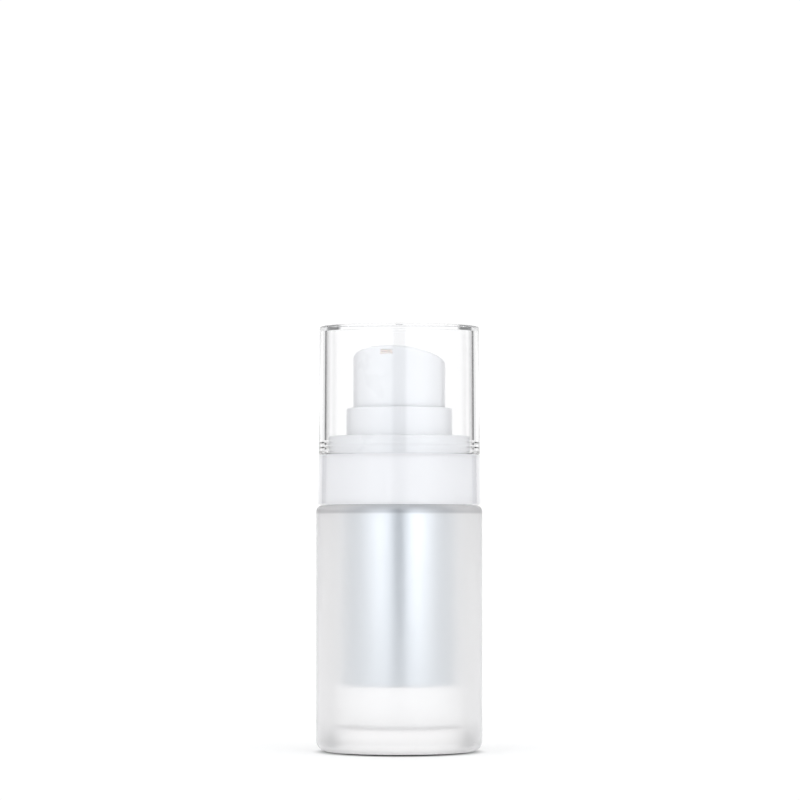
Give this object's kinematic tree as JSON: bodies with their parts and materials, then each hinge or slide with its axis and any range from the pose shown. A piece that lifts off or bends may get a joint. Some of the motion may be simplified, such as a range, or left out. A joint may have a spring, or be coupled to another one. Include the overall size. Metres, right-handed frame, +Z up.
{
  "type": "airless foundation bottle",
  "caption": "Frosted airless foundation bottle with a silver inner cup, a white press pump in a clear snap collar, and a clear lift-off cap.",
  "frame": {"origin": "centre of the base, on the plane that the bottle stands on", "axes": "+Z up along the bottle's axis; the pump's outlet faces -Y"},
  "size_m": [0.036, 0.036, 0.0919],
  "materials": {
    "frosted_glass": "acid-frosted outside, clear heavy wall",
    "silver_lacquer": "vacuum-metallised silver under a clear lacquer",
    "clear_plastic": "polished clear moulding",
    "white_plastic": "semi-gloss cool white moulding",
    "natural_plastic": "uncoloured moulding, as moulded",
    "peach_plastic": "pale peach-orange moulding",
    "seal_plastic": "soft uncoloured seal",
    "spring_steel": "bright stainless"
  },
  "bodies": {
    "bottle": {"outer_bottle": "frosted_glass", "inner_cup": "silver_lacquer", "cup_gasket": "seal_plastic", "pump_housing": "natural_plastic", "ball_cage": "natural_plastic", "housing_lock": "natural_plastic", "return_spring": "spring_steel", "collar_base": "white_plastic", "collar_sleeve": "clear_plastic", "pump_shroud": "white_plastic"},
    "cap": {"overcap": "clear_plastic"},
    "plunger": {"pump_stem": "natural_plastic", "stem_plug": "natural_plastic", "stem_piston": "seal_plastic"},
    "head": {"actuator_head": "white_plastic", "actuator_core": "white_plastic", "nozzle_insert": "peach_plastic"},
    "follower": {"follower_piston": "natural_plastic"},
    "inlet_valve": {"inlet_ball": "spring_steel"},
    "outlet_valve": {"outlet_ball": "spring_steel"}
  },
  "joints": [
    {"name": "cap_lift", "type": "slide", "parent": "bottle", "child": "cap", "axis": [0, 0, 1], "range_m": [0, 0.035]},
    {"name": "head_press", "type": "slide", "parent": "bottle", "child": "plunger", "axis": [0, 0, -1], "range_m": [0, 0.0038], "stiffness_N_per_m": 1500, "deforming": ["return_spring"]},
    {"name": "head_turn", "type": "hinge", "parent": "plunger", "child": "head", "pos_m": [0, 0, 0.078], "axis": [0, 0, 1], "continuous": true},
    {"name": "follower_rise", "type": "slide", "parent": "bottle", "child": "follower", "axis": [0, 0, 1], "range_m": [0, 0.031]},
    {"name": "inlet_ball_lift", "type": "slide", "parent": "bottle", "child": "inlet_valve", "axis": [0, 0, 1], "range_m": [0, 0.0008]},
    {"name": "outlet_ball_lift", "type": "slide", "parent": "plunger", "child": "outlet_valve", "axis": [0, 0, 1], "range_m": [0, 0.0012]}
  ]
}
